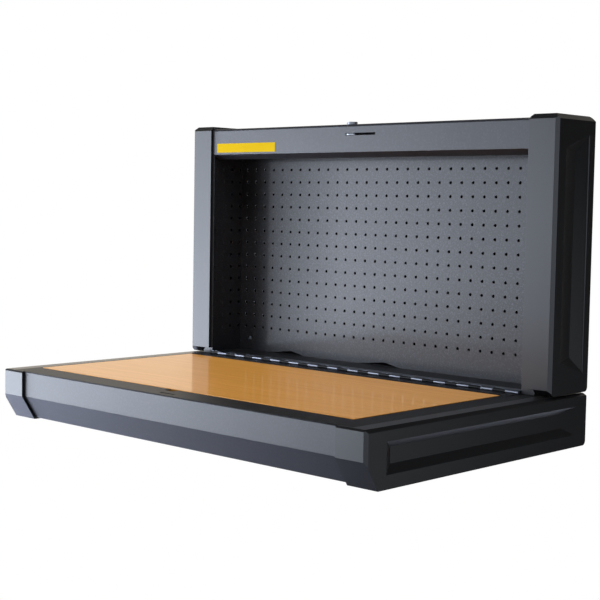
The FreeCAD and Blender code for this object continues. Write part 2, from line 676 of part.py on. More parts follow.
def tray_profile():
    """The tray's outer outline across X, from the frame down to its bottom."""
    foot = "tray_front + slope * (kink_z - tray_low)"
    return [("tray_front", "frame_low"), ("tray_front", "kink_z"), (foot, "tray_low"),
            ("bench_back", "tray_low"), ("bench_back", "frame_low")]


def tray():
    """Folded sheet that makes the worktop's front, bottom and rear."""
    kink = "kink_z + sheet * (slant - 1) / slope"
    inside_foot = "tray_front + slope * (kink_z - tray_low - sheet) + slant * sheet"
    outline = tray_profile() + [
        ("bench_back - sheet", "frame_low"), ("bench_back - sheet", "tray_low + sheet"),
        (inside_foot, "tray_low + sheet"), ("tray_front + sheet", kink),
        ("tray_front + sheet", "frame_low")]
    node("tray", prism("tray_body", "X", "-1 * tray_half", "tray_half", [outline]))


def top_frame():
    """Steel frame flush round the wood, with the hinge's screw holes and the keeper slot."""
    back_y = "bench_back - lower_cap_wall"
    outline = [("-1 * lower_flange_in", "tray_front"), ("lower_flange_in", "tray_front"),
               ("lower_flange_in", back_y), ("tray_half", back_y), ("tray_half", "bench_back"),
               ("-1 * tray_half", "bench_back"), ("-1 * tray_half", back_y),
               ("-1 * lower_flange_in", back_y)]
    body = prism("top_frame_body", "Z", "frame_low", "deck", [outline])
    edge = "wood_front - wood_gap"
    window = [("wood_left - wood_gap", edge), ("notch_left", edge),
              ("notch_left", edge + " - notch_depth"), ("notch_right", edge + " - notch_depth"),
              ("notch_right", edge), ("wood_right + wood_gap", edge),
              ("wood_right + wood_gap", "wood_back + wood_gap"),
              ("wood_left - wood_gap", "wood_back + wood_gap")]
    pocket(body, "Z", "frame_low", "deck", [window])
    pocket(body, "Z", "frame_low", "deck", [keeper_slot()])
    pocket(body, "Z", "frame_low", "deck",
           circles=[(x, "lower_screw_y", "hinge_screw_radius + screw_clearance")
                    for x in hinge_screw_places()])
    node("top_frame", body)


def keeper_slot():
    """Slot that the lock's cam swings into when the worktop is shut."""
    return rectangle("keeper_slot_left", "keeper_slot_right", "keeper_y - keeper_slot_height / 2",
                     "keeper_y + keeper_slot_height / 2")


def keeper_plate():
    """Stiffening plate behind the keeper slot."""
    body = prism("keeper_plate_body", "Z", "frame_low - keeper_sheet", "frame_low",
                 [rectangle("-1 * keeper_width / 2", "keeper_width / 2",
                            "keeper_y - keeper_depth / 2", "keeper_y + keeper_depth / 2")])
    pocket(body, "Z", "frame_low - keeper_sheet", "frame_low", [keeper_slot()])
    node("keeper_plate", body)


def wood_panel():
    """Wood board with a small round on its top edges, screwed to the braces from below."""
    body = prism("wood_panel_body", "Z", "wood_low", "wood_top",
                 [rectangle("wood_left", "wood_right", "wood_front", "wood_back")])
    pocket(body, "Z", "wood_low", "wood_low + wood_screw_depth",
           circles=[(x, y, "screw_radius + screw_clearance") for x, y in wood_screw_places()])
    doc.recompute()
    last = body.Tip
    faces = enumerate(last.Shape.Faces, start=1)
    top_face = max(faces, key=lambda item: item[1].CenterOfMass.z)[0]
    arris = body.newObject("PartDesign::Fillet", "wood_panel_arris")
    arris.Base = (last, ["Face%d" % top_face])
    bind(arris, Radius="wood_round")
    body.Tip = arris
    node("wood_panel", body)


def wood_screw_places():
    """Places of the screws that hold the wood to the two braces."""
    return [("%d * lower_in / 2" % step, y) for step in (-1, 0, 1)
            for y in ("front_brace_y", "rear_brace_y")]


def side_rails():
    """Channels inside the lower covers; the tray, the braces and the covers fasten to them."""
    outline = [("lower_in", "tray_low"), ("lower_flange_in", "tray_low"),
               ("lower_flange_in", "tray_low + rail_sheet"),
               ("lower_in + rail_sheet", "tray_low + rail_sheet"),
               ("lower_in + rail_sheet", "wood_low - rail_sheet"),
               ("lower_flange_in", "wood_low - rail_sheet"),
               ("lower_flange_in", "wood_low"), ("lower_in", "wood_low")]
    body = prism("side_rail_body", "Y", "side_rail_front", "side_rail_back", [outline])
    pocket(body, "Z", "tray_low", "tray_low + rail_sheet",
           circles=[("cap_screw_x", y, "screw_radius + screw_clearance")
                    for y in cap_screw_places()])
    pair("side_rail", body)


def braces():
    """Channels across the worktop, open downwards, that carry the wood."""
    for name, middle in (("front_brace", "front_brace_y"), ("rear_brace", "rear_brace_y")):
        low = "%s - brace_width / 2" % middle
        high = "%s + brace_width / 2" % middle
        outline = [(low, "wood_low - brace_height"), (low, "wood_low"), (high, "wood_low"),
                   (high, "wood_low - brace_height"),
                   (high + " - rail_sheet", "wood_low - brace_height"),
                   (high + " - rail_sheet", "wood_low - rail_sheet"),
                   (low + " + rail_sheet", "wood_low - rail_sheet"),
                   (low + " + rail_sheet", "wood_low - brace_height")]
        body = prism(name + "_body", "X", "-1 * lower_in", "lower_in", [outline])
        pocket(body, "Z", "wood_low - rail_sheet", "wood_low",
               circles=[(x, y, "screw_radius + screw_clearance")
                        for x, y in wood_screw_places() if y == middle])
        node(name, body)


def worktop_screws():
    """Screws up into the wood, and screws through the lower covers into the side rails."""
    under = "wood_low - rail_sheet"
    group("wood_screws", [
        headed_pin("wood_screw_%d" % index, "Z", "screw_radius", "screw_head_radius",
                   under + " - screw_head", under, under, "wood_low + wood_screw_depth",
                   x, y, "0")
        for index, (x, y) in enumerate(wood_screw_places())])
    group("lower_cap_screws", [
        headed_pin("cap_screw_%d_%d" % (side + 1, index), "Z", "screw_radius",
                   "screw_head_radius", "bench_low - screw_head", "bench_low",
                   "bench_low", "tray_low + rail_sheet + screw_head",
                   "%d * cap_screw_x" % side, y, "0")
        for side in (-1, 1) for index, y in enumerate(cap_screw_places())])


# ---------------------------------------------------------------- lock and small pieces

def lock():
    """Cam lock in the top panel: fixed housing and nut, turning plug, cam and screw."""
    bore = "plug_radius + plug_clearance"
    body_low = "cam_top + cam_clearance"
    housing = prism("lock_housing_body", "Z", "top", "top + lock_head_height",
                    circles=[("lock_x", "lock_y", "lock_head_radius"), ("lock_x", "lock_y", bore)])
    pad(housing, "Z", body_low, "top",
        circles=[("lock_x", "lock_y", "lock_body_radius"), ("lock_x", "lock_y", bore)])
    node("lock_housing", housing)

    corner = "nut_flats / sqrt(3)"
    hexagon = [("lock_x + %s * (%s)" % (u, corner), "lock_y + %s * (%s)" % (v, corner))
               for u, v in (("1", "0"), ("0.5", "sqrt(3) / 2"), ("-0.5", "sqrt(3) / 2"),
                            ("-1", "0"), ("-0.5", "-1 * sqrt(3) / 2"), ("0.5", "-1 * sqrt(3) / 2"))]
    nut = prism("lock_nut_body", "Z", "under_top - nut_height", "under_top", [hexagon],
                circles=[("lock_x", "lock_y", "lock_body_radius + screw_clearance")])
    node("lock_nut", nut)

    plug = prism("lock_plug_body", "Z", "cam_top", "top + lock_head_height",
                 circles=[("lock_x", "lock_y", "plug_radius")])
    pocket(plug, "Z", "top + lock_head_height - key_slot_depth", "top + lock_head_height",
           [rectangle("lock_x - key_slot_length / 2", "lock_x + key_slot_length / 2",
                      "lock_y - key_slot_width / 2", "lock_y + key_slot_width / 2")])
    pocket(plug, "Z", "cam_top", "cam_top + cam_drop / 3",
           circles=[("lock_x", "lock_y", "screw_radius + screw_clearance")])
    node("lock_plug", plug)

    hub = rod("cam_hub", "Z", "cam_hub_radius", "cam_low", "cam_top", "lock_x", "lock_y", "0")
    arm = block("cam_arm", "lock_x - cam_arm_width / 2", "lock_x + cam_arm_width / 2",
                "lock_y", "lock_y + cam_reach", "cam_low", "cam_top")
    finger = block("cam_finger_block", "lock_x", "lock_x + cam_arm_width / 2 + cam_finger",
                   "lock_y + cam_reach - cam_finger_width", "lock_y + cam_reach",
                   "cam_low", "cam_top")
    hole = rod("cam_hole", "Z", "screw_radius + screw_clearance", "cam_low", "cam_top",
               "lock_x", "lock_y", "0")
    node("lock_cam", cut("lock_cam_plate", fused("cam_blank", [hub, arm, finger]), hole))
    node("cam_screw", headed_pin("cam_screw_pin", "Z", "screw_radius", "screw_head_radius",
                                 "cam_low - screw_head", "cam_low", "cam_low",
                                 "cam_top + cam_drop / 3 - screw_clearance",
                                 "lock_x", "lock_y", "0"))


def small_pieces():
    """Stop pads under the shelf and the plain band on the fascia."""
    group("stop_pads", [rod("stop_pad_%d" % (side + 1), "Z", "pad_radius", "deck + pad_gap",
                            "shelf_low", "%d * pad_x" % side, "-1 * pad_y", "0")
                        for side in (-1, 1)])
    node("label_strip", block("label_strip_band", "label_end", "label_end + label_length",
                              "face - label_thickness", "face", "top - label_low",
                              "top - label_high"))


back_panel()
uprights()
top_panel()
bottom_shelf()
wall_rails()
upper_covers()
lower_covers()
hinge()
tray()
top_frame()
keeper_plate()
wood_panel()
side_rails()
braces()
worktop_screws()
lock()
small_pieces()
doc.removeObject(ruler.Name)
doc.recompute()

# Every feature has to be sound, and every pocket has to have cut something.
for item in doc.Objects:
    if "Invalid" in item.State or "Error" in item.State:
        raise RuntimeError("feature failed: %s %s" % (item.Name, item.State))
    if item.TypeId == "PartDesign::Pocket":
        if item.Shape.Volume >= item.BaseFeature.Shape.Volume:
            raise RuntimeError("pocket cut nothing: %s" % item.Name)
for name, piece in nodes.items():
    if piece.Shape.isNull() or not piece.Shape.isValid():
        raise RuntimeError("piece is not sound: %s" % name)

os.makedirs("parts", exist_ok=True)
for name, piece in nodes.items():
    piece.Shape.exportStep("parts/%s.step" % name)
print("%d pieces written" % len(nodes))
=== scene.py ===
# %% [markdown]
# # A wall mounted folding workbench
# The steel cabinet hangs on the wall by four bolts, and its worktop folds down on a long piano
# hinge. The engineering model gives every piece at its real size. This notebook gives each one
# its finish, rounds the edges that a real tool would round, and lights the bench in a studio.

# %% Load the engineering model
import json
import math

import bmesh
import bpy
from mathutils import Matrix, Vector


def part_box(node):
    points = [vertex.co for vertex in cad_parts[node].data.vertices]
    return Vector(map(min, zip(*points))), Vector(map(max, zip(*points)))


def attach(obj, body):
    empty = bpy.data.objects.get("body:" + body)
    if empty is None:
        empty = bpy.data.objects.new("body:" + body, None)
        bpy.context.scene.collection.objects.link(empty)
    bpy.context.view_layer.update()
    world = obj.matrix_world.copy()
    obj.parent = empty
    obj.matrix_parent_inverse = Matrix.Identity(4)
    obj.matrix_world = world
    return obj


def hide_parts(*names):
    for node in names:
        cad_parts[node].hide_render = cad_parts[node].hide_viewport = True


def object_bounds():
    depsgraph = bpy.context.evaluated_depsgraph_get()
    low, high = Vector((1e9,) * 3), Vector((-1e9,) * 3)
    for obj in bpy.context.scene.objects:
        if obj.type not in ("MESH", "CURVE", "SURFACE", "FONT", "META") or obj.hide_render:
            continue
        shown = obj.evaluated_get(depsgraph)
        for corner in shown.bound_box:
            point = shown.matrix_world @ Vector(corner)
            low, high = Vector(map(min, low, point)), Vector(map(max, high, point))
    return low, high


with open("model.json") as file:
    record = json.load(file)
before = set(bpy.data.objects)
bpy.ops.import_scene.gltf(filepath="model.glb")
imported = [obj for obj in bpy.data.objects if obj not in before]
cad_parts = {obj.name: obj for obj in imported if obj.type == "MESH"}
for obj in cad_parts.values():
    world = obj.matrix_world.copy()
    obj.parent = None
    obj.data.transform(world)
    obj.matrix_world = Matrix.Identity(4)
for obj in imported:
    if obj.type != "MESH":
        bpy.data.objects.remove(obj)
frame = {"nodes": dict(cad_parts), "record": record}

CAD_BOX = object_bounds()
NODES = frame["nodes"]
MM = 0.001
print("nodes:", len(NODES), "box:", [tuple(round(c, 4) for c in corner) for corner in CAD_BOX])

# %% [markdown]
# ## The camera
# A product picture is taken from far off with a long lens, so that upright edges stay nearly
# parallel. The camera stands to the right of the bench, a little above its worktop, and looks
# down at it by four degrees. Its turn is given by the directions of its own right, down and
# forward axes, which is exact and needs no target object.

# %% Place the camera
CAMERA_PLACE = Vector((1.6107, -1.9487, 0.0814))
CAMERA_RIGHT = Vector((0.72491127, 0.68862968, 0.01711195))
CAMERA_DOWN = Vector((0.06257107, -0.04108818, -0.99719438))
CAMERA_FORWARD = Vector((-0.68599455, 0.72394815, -0.07287358))
SENSOR_MM, FOCAL_MM = 36, 78.93

lens = bpy.data.cameras.new("studio_camera")
lens.sensor_width = SENSOR_MM
lens.lens = FOCAL_MM
lens.clip_end = 30
camera = bpy.data.objects.new("studio_camera", lens)
turn = Matrix((CAMERA_RIGHT, -CAMERA_DOWN, -CAMERA_FORWARD)).transposed()
camera.matrix_world = Matrix.Translation(CAMERA_PLACE) @ turn.to_4x4()
bpy.context.scene.collection.objects.link(camera)
bpy.context.scene.camera = camera
print("lens of", lens.lens, "mm at", round(CAMERA_PLACE.length, 2), "m from the bench")

# %% [markdown]
# ## Tools for finishes
# Colours are written as the hex values of a paint chart, which are sRGB, while the renderer
# counts in linear light. One function turns the first into the second. Another adds a node to
# a material's tree with its settings and links, so that each finish below reads as a recipe.


# %% Colour and node helpers
def paint(chart):
    """Linear RGBA of a hex colour from a paint chart."""
    parts = [int(chart[i:i + 2], 16) / 255 for i in (1, 3, 5)]
    return [c / 12.92 if c <= 0.04045 else ((c + 0.055) / 1.055) ** 2.4 for c in parts] + [1]


def add(tree, kind, inputs, **settings):
    """Add a shader node. Inputs map socket names or numbers to values or to other sockets."""
    node = tree.nodes.new("ShaderNode" + kind)
    for name, value in settings.items():
        setattr(node, name, value)
    for name, value in inputs.items():
        if isinstance(value, bpy.types.NodeSocket):
            tree.links.new(value, node.inputs[name])
        else:
            node.inputs[name].default_value = value
    return node


def new_finish(name, **sockets):
    """A material with constant settings on its shader, and its tree and shader."""
    material = bpy.data.materials.new(name)
    material.use_nodes = True
    shader = material.node_tree.nodes["Principled BSDF"]
    for socket, value in sockets.items():
        shader.inputs[socket.replace("_", " ")].default_value = value
    return material, material.node_tree, shader


def per_mm(size):
    """Texture scale, in cycles per metre, of a pattern whose grain is so many millimetres."""
    return 1 / (size * MM)


print("mid grey #808080 is", round(paint("#808080")[0], 3), "in linear light")

# %% [markdown]
# ## Powder coat
# The sheet steel is powder coated: dry paint is blown on and baked, and it flows out into a
# skin with a faint orange peel. The tool panel has a fine textured coat, whose tiny grains
# scatter the light, and the fascia and the tray have a smoother satin one. Both come from the
# same recipe: a slow drift of tone, a speckle, and a bump, each at its own real scale.


# %% Powder coat recipe
def powder_coat(name, dark, light, speck, speck_size, peel_size, peel_depth, roughness, specular,
                skin=0.0):
    """Baked powder on sheet steel; skin is the share of a glossy film over its rough grain."""
    material, tree, shader = new_finish(name, Specular_IOR_Level=specular, Coat_Weight=skin,
                                        Coat_Roughness=0.1)
    place = add(tree, "TexCoord", {}).outputs["Object"]
    drift = add(tree, "TexNoise", {"Vector": place, "Scale": per_mm(140), "Detail": 3.0})
    tone = add(tree, "Mix", {0: drift.outputs["Fac"], 6: paint(dark), 7: paint(light)},
               data_type="RGBA")
    grains = add(tree, "TexNoise", {"Vector": place, "Scale": per_mm(speck_size), "Detail": 2.0})
    sparse = add(tree, "MapRange", {0: grains.outputs["Fac"], 1: 0.5, 2: 0.75})
    specked = add(tree, "Mix", {0: sparse.outputs[0], 6: tone.outputs[2], 7: paint(speck)},
                  data_type="RGBA")
    peel = add(tree, "TexNoise", {"Vector": place, "Scale": per_mm(peel_size), "Detail": 2.0})
    bump = add(tree, "Bump", {"Height": peel.outputs["Fac"], "Distance": peel_depth * MM,
                              "Strength": 1.0})
    gloss = add(tree, "MapRange", {0: drift.outputs["Fac"], 3: roughness - 0.04,
                                   4: roughness + 0.04})
    tree.links.new(specked.outputs[2], shader.inputs["Base Color"])
    tree.links.new(gloss.outputs[0], shader.inputs["Roughness"])
    tree.links.new(bump.outputs[0], shader.inputs["Normal"])
    return material


# %% Three powder coats
# The grain of each coat is really under 1 mm; here it is drawn at 2 to 3.5 mm so that it shows.
panel_coat = powder_coat("fine_textured_powder_coat", "#1b1c1f", "#222327", "#3a3b42",
                         2.6, 3.0, 0.08, 0.40, 0.5, skin=0.25)
body_coat = powder_coat("satin_powder_coat", "#1a1b1f", "#222328", "#2c2d34",
                        3.5, 6.0, 0.12, 0.41, 0.72)
frame_coat = powder_coat("black_powder_coat", "#101012", "#141416", "#1c1d20",
                         2.0, 2.5, 0.04, 0.5, 0.3)
print("powder coats:", panel_coat.name, body_coat.name, frame_coat.name)

# %% [markdown]
# ## Moulded end covers
# The end covers are injection moulded ABS with a spark-eroded grain in the mould, so they are
# a little duller than the paint. ABS has an IOR of about 1.54. The pits of the real grain are a
# few tenths of a millimetre across; they are drawn at 1.6 mm so that the eye still reads them.


# %% Moulded ABS
def moulded_abs(name, dark, light, grain_size, roughness, specular):
    """Injection moulded plastic with a spark-eroded grain."""
    material, tree, shader = new_finish(name, IOR=1.54, Specular_IOR_Level=specular)
    place = add(tree, "TexCoord", {}).outputs["Object"]
    flow = add(tree, "TexNoise", {"Vector": place, "Scale": per_mm(180), "Detail": 2.0})
    tone = add(tree, "Mix", {0: flow.outputs["Fac"], 6: paint(dark), 7: paint(light)},
               data_type="RGBA")
    grain = add(tree, "TexNoise", {"Vector": place, "Scale": per_mm(grain_size), "Detail": 1.0})
    bump = add(tree, "Bump", {"Height": grain.outputs["Fac"], "Distance": 0.05 * MM,
                              "Strength": 1.0})
    gloss = add(tree, "MapRange", {0: grain.outputs["Fac"], 3: roughness - 0.05,
                                   4: roughness + 0.05})
    tree.links.new(tone.outputs[2], shader.inputs["Base Color"])
    tree.links.new(gloss.outputs[0], shader.inputs["Roughness"])
    tree.links.new(bump.outputs[0], shader.inputs["Normal"])
    return material


cover_abs = moulded_abs("moulded_abs", "#111113", "#161618", 1.6, 0.33, 0.58)
rubber = moulded_abs("moulded_rubber", "#141414", "#1c1c1d", 2.5, 0.75, 0.3)
print("mouldings:", cover_abs.name, rubber.name)

# %% [markdown]
# ## Bright metals
# The hinge and the screws are zinc plated and the lock has a satin chrome plate. A metal's
# colour is its reflection, so metallic is 1 and the base colour is the tint. Drawn hinge leaf
# keeps fine lines along its length, about 0.4 mm apart, drawn here at 0.8 mm so that they show.


# %% Plated steel
def plated(name, tint, stain, roughness, brushed):
    """Plated steel; brushed stretches its fine lines along X."""
    material, tree, shader = new_finish(name, Metallic=1.0)
    place = add(tree, "TexCoord", {}).outputs["Object"]
    stretch = add(tree, "Mapping", {0: place, 3: (1 / brushed, 1.0, 1.0)})
    lines = add(tree, "TexNoise", {"Vector": stretch.outputs[0], "Scale": per_mm(0.8),
                                   "Detail": 2.0})
    cloud = add(tree, "TexNoise", {"Vector": place, "Scale": per_mm(22), "Detail": 2.0})
    tone = add(tree, "Mix", {0: cloud.outputs["Fac"], 6: paint(tint), 7: paint(stain)},
               data_type="RGBA")
    gloss = add(tree, "MapRange", {0: lines.outputs["Fac"], 3: roughness - 0.06,
                                   4: roughness + 0.08})
    tree.links.new(tone.outputs[2], shader.inputs["Base Color"])
    tree.links.new(gloss.outputs[0], shader.inputs["Roughness"])
    return material


hinge_zinc = plated("drawn_zinc_plate", "#a2a6af", "#9094a0", 0.4, 30)
screw_zinc = plated("bright_zinc_plate", "#c3c6ca", "#aaaeb4", 0.28, 1)
lock_chrome = plated("satin_chrome_plate", "#9b9c9f", "#909195", 0.45, 1)
print("metals:", hinge_zinc.name, screw_zinc.name, lock_chrome.name)

# %% [markdown]
# ## The wood
# The worktop is a sealed beech board. Beech is honey coloured with grain lines a few
# millimetres apart that run the length of the board, and short darker flecks. The seal is a
# clear film over it, so at a low angle the board mirrors whatever stands behind it.

# %% Sealed beech
wood, tree, shader = new_finish("sealed_beech", Roughness=0.5, Specular_IOR_Level=0.2,
                                Coat_Weight=0.45, Coat_Roughness=0.09, Coat_IOR=1.5)
place = add(tree, "TexCoord", {}).outputs["Object"]
sweep = add(tree, "TexNoise", {"Vector": place, "Scale": per_mm(300), "Detail": 1.0})
bend = add(tree, "VectorMath", {0: sweep.outputs["Color"], 1: (0, 0.05, 0), 2: place},
           operation="MULTIPLY_ADD")
long_way = add(tree, "Mapping", {0: bend.outputs[0], 3: (0.03, 1.0, 1.0)})
years = add(tree, "TexNoise", {"Vector": long_way.outputs[0], "Scale": per_mm(9), "Detail": 4.0,
                               "Roughness": 0.6})
fleck_way = add(tree, "Mapping", {0: place, 3: (0.12, 1.0, 1.0)})
flecks = add(tree, "TexNoise", {"Vector": fleck_way.outputs[0], "Scale": per_mm(1.8),
                                "Detail": 1.0})
fleck_mask = add(tree, "MapRange", {0: flecks.outputs["Fac"], 1: 0.62, 2: 0.8, 4: 0.35})
early = add(tree, "MapRange", {0: years.outputs["Fac"], 1: 0.3, 2: 0.7})
board = add(tree, "Mix", {0: early.outputs[0], 6: paint("#b77f37"), 7: paint("#c78d44")},
            data_type="RGBA")
flecked = add(tree, "Mix", {0: fleck_mask.outputs[0], 6: board.outputs[2], 7: paint("#9a6428")},
              data_type="RGBA")
pores = add(tree, "Bump", {"Height": flecks.outputs["Fac"], "Distance": 0.02 * MM,
                           "Strength": 0.6})
tree.links.new(flecked.outputs[2], shader.inputs["Base Color"])
tree.links.new(pores.outputs[0], shader.inputs["Normal"])
print("wood:", wood.name)

# %% [markdown]
# ## The plain band
# A strip of yellow vinyl film lies on the fascia. It could be painted on the panel, but film is
# a piece of its own. It is a matte film, so it keeps its colour where the paint beside it shines.

# %% Vinyl film
film, tree, shader = new_finish("yellow_vinyl_film", Roughness=0.8, Specular_IOR_Level=0.05)
place = add(tree, "TexCoord", {}).outputs["Object"]
cloud = add(tree, "TexNoise", {"Vector": place, "Scale": per_mm(30), "Detail": 2.0})
tone = add(tree, "Mix", {0: cloud.outputs["Fac"], 6: paint("#d3b01c"), 7: paint("#dfbd26")},
           data_type="RGBA")
tree.links.new(tone.outputs[2], shader.inputs["Base Color"])
print("film:", film.name)

# %% [markdown]
# ## Rounding the edges
# No real edge is sharp: folded sheet turns on a small radius and a moulding is rounded so that
# it leaves the mould. The engineering solids have sharp edges, so each piece here is a copy of
# its solid whose split corners are merged, whose flat faces are made whole, and whose sharp
# edges are bevelled by the radius of the real one. A bevel catches a thin line of light, and
# that line is much of what makes a solid look real.


# %% Copy a solid and bevel its sharp edges
SHARP = math.radians(12)
LONG_EDGE, SHARP_IF_LONG = 100 * MM, math.radians(6)
MERGE = 0.01 * MM
BODY_OF = {node: body for body, members in frame["record"]["behaviour"]["bodies"].items()
           for node in members}


def clean_form(node):
    """The node's mesh as one closed skin with whole flat faces."""
    form = bmesh.new()
    form.from_mesh(NODES[node].data)
    bmesh.ops.remove_doubles(form, verts=form.verts, dist=MERGE)
    bmesh.ops.dissolve_limit(form, angle_limit=math.radians(0.5), verts=form.verts,
                             edges=form.edges)
    return form


def eased(node, finish, radius, shortest=0.0, segments=2, fold=None):
    """Replace a node by a copy with its sharp edges rounded, apart from very short ones.

    A fold is a wide radius with the Y and Z of the edges that have it.
    """
    form = clean_form(node)
    widest, fold_y, fold_z = fold or (radius, 0, 0)
    weights = form.edges.layers.float.new("bevel_weight_edge")
    for face in form.faces:
        face.smooth = True
    for edge in form.edges:
        limit = SHARP_IF_LONG if edge.calc_length() > LONG_EDGE else SHARP
        edge.smooth = edge.is_manifold and edge.calc_face_angle() < limit
        if not edge.smooth and edge.is_manifold and edge.calc_length() >= shortest * MM:
            middle = (edge.verts[0].co + edge.verts[1].co) / 2
            off_fold = max(abs(middle.y - fold_y), abs(middle.z - fold_z))
            edge[weights] = 1.0 if fold and off_fold < MM / 10 else radius / widest
    mesh = bpy.data.meshes.new(node + "_finished")
    form.to_mesh(mesh)
    form.free()
    mesh.materials.clear()
    mesh.materials.append(finish)
    piece = bpy.data.objects.new(node + "_finished", mesh)
    bpy.context.scene.collection.objects.link(piece)
    round_off = piece.modifiers.new("edge_radius", "BEVEL")
    round_off.width = widest * MM
    round_off.segments = segments
    round_off.limit_method = "WEIGHT"
    round_off.miter_outer = "MITER_ARC"
    round_off.use_clamp_overlap = fold is None
    even = piece.modifiers.new("flat_faces_stay_flat", "WEIGHTED_NORMAL")
    even.keep_sharp = True
    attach(piece, BODY_OF[node])
    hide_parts(node)
    return piece

# %% [markdown]
# ## Sheet metal and mouldings
# Each row below is a piece, its finish and its edge radius in millimetres. A fold in 1.2 mm
# sheet has an outside radius of about 1 mm, a cut edge is only broken, and the end covers are
# rounded by nearly 1 mm.

# %% Finish the large pieces
front_of_top, crown_of_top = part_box("top_panel")[0].y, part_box("top_panel")[1].z
eased("top_panel", body_coat, 0.8, shortest=90, segments=3,
      fold=(4.5, front_of_top, crown_of_top))
eased("tray", body_coat, 0.9, shortest=5)
eased("top_frame", frame_coat, 0.5, shortest=2)
# The bottom shelf takes the darker, duller frame coat, which paints the shade at the foot of the
# tool panel.
eased("bottom_shelf", frame_coat, 0.3, shortest=5)
for side in ("left", "right"):
    eased(side + "_upright", panel_coat, 0.8, shortest=5)
    eased(side + "_upper_cap", cover_abs, 0.9, shortest=1)
    eased(side + "_lower_cap", cover_abs, 0.9, shortest=1)
    eased(side + "_side_rail", frame_coat, 0.5, shortest=5)
eased("wood_panel", wood, 0.4, shortest=5)
for rail in ("top_wall_rail", "bottom_wall_rail", "front_brace", "rear_brace"):
    eased(rail, frame_coat, 0.6, shortest=5)

# %% Give the small pieces their finish
SMALL = {
    "back_panel": panel_coat, "upper_hinge_leaf": hinge_zinc, "lower_hinge_leaf": frame_coat,
    "hinge_pin": hinge_zinc, "upper_hinge_rivets": screw_zinc, "lower_hinge_screws": screw_zinc,
    "wall_spacers": screw_zinc, "upright_screws": screw_zinc, "wood_screws": screw_zinc,
    "lower_cap_screws": screw_zinc, "keeper_plate": frame_coat, "stop_pads": rubber,
    "label_strip": film, "lock_housing": lock_chrome, "lock_nut": screw_zinc,
    "lock_plug": lock_chrome, "lock_cam": screw_zinc, "cam_screw": screw_zinc,
}
for name, finish in SMALL.items():
    mesh = NODES[name].data
    mesh.materials.clear()
    mesh.materials.append(finish)
print("small pieces finished:", len(SMALL))

# %% [markdown]
# ## The studio
# The bench hangs in front of white, and everything from here on is stage, not part. The floor
# lies as far below as under a real bench. The camera sees it pure white, so it shows no shadow.
# Mirrors see it pale on the left and, as painted shade, dark in front on the right, where a real
# room would be darker. That steers the reflections by hand: under plain light the dark paint looks
# darker.


# %% Stage helpers
def sheet_of(name, corners, finish):
    """One flat four-cornered stage sheet."""
    mesh = bpy.data.meshes.new(name)
    mesh.from_pydata(corners, [], [(0, 1, 2, 3)])
    mesh.materials.append(finish)
    thing = bpy.data.objects.new(name, mesh)
    bpy.context.scene.collection.objects.link(thing)
    return thing


FLOOR_DROP = 0.76
FLOOR = CAD_BOX[0].z - FLOOR_DROP
FLOOR_WEST = -2.4
floor_paint, tree, shader = new_finish("pale_floor_paint", Roughness=0.9, Specular_IOR_Level=0.1)
spot = add(tree, "SeparateXYZ", {0: add(tree, "NewGeometry", {}).outputs["Position"]})
ray = add(tree, "LightPath", {})
# Painted shade in reflections: mirrors alone see the floor dark in front on the right.
eastward = add(tree, "MapRange", {0: spot.outputs["X"], 1: -1.4, 2: 0.1})
in_front = add(tree, "Math", {0: spot.outputs["Y"], 1: 0.0}, operation="LESS_THAN")
east_front = add(tree, "Math", {0: eastward.outputs[0], 1: in_front.outputs[0]},
                 operation="MULTIPLY")
mirrored = add(tree, "Math", {0: east_front.outputs[0], 1: ray.outputs["Is Glossy Ray"]},
               operation="MULTIPLY")
tone = add(tree, "Mix", {0: mirrored.outputs[0], 6: paint("#d3d9ef"), 7: paint("#2c2c30")},
           data_type="RGBA")
tree.links.new(tone.outputs[2], shader.inputs["Base Color"])
white = add(tree, "Emission", {"Color": (1, 1, 1, 1)})
either = add(tree, "MixShader", {0: ray.outputs["Is Camera Ray"], 1: shader.outputs[0],
                                 2: white.outputs[0]})
tree.links.new(either.outputs[0], tree.nodes["Material Output"].inputs["Surface"])
floor_paint.cycles.emission_sampling = "NONE"
for name, south, north, east_end in (("floor", -2.0, 0.0, 1.4), ("floor_behind", 0.0, 3.0, 0.6)):
    sheet_of(name, [(FLOOR_WEST, south, FLOOR), (east_end, south, FLOOR),
                    (east_end, north, FLOOR), (FLOOR_WEST, north, FLOOR)], floor_paint)
print("floor at", round(FLOOR, 3))

# %% [markdown]
# ## A wall behind the holes
# A real bench hangs on a wall. This wall's near-black colour is painted shade: it stands for the
# shade in the gap behind the tool panel, so that the holes read dark. A whole wall would hide the
# back from other views. This one is only as large as the cabinet, and only the camera's rays from
# the front meet it, so the back can still be seen, and lit, from behind.

# %% Build the wall
wall, tree, shader = new_finish("painted_shade_wall", Roughness=1.0, Specular_IOR_Level=0.0)
# Painted shade: the near-black colour stands for the shade behind the tool panel.
shader.inputs["Base Color"].default_value = paint("#0b0b0d")
from_front = add(tree, "Math", {0: add(tree, "LightPath", {}).outputs["Is Camera Ray"],
                                1: add(tree, "NewGeometry", {}).outputs["Backfacing"]},
                 operation="SUBTRACT")
clear = add(tree, "BsdfTransparent", {})
either = add(tree, "MixShader", {0: from_front.outputs[0], 1: clear.outputs[0],
                                 2: shader.outputs[0]})
tree.links.new(either.outputs[0], tree.nodes["Material Output"].inputs["Surface"])
panel_low, panel_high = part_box("back_panel")
behind = 0.5 * MM
sheet_of("wall_behind", [(panel_low.x, behind, panel_low.z), (panel_high.x, behind, panel_low.z),
                         (panel_high.x, behind, panel_high.z),
                         (panel_low.x, behind, panel_high.z)], wall)
print("wall as wide as the panel:", round(panel_high.x - panel_low.x, 3))

# %% [markdown]
# ## The air of the studio
# The world is white to the camera and to glass, and only a faint glow to everything else, so
# the lamps do the lighting and the background still comes out white.

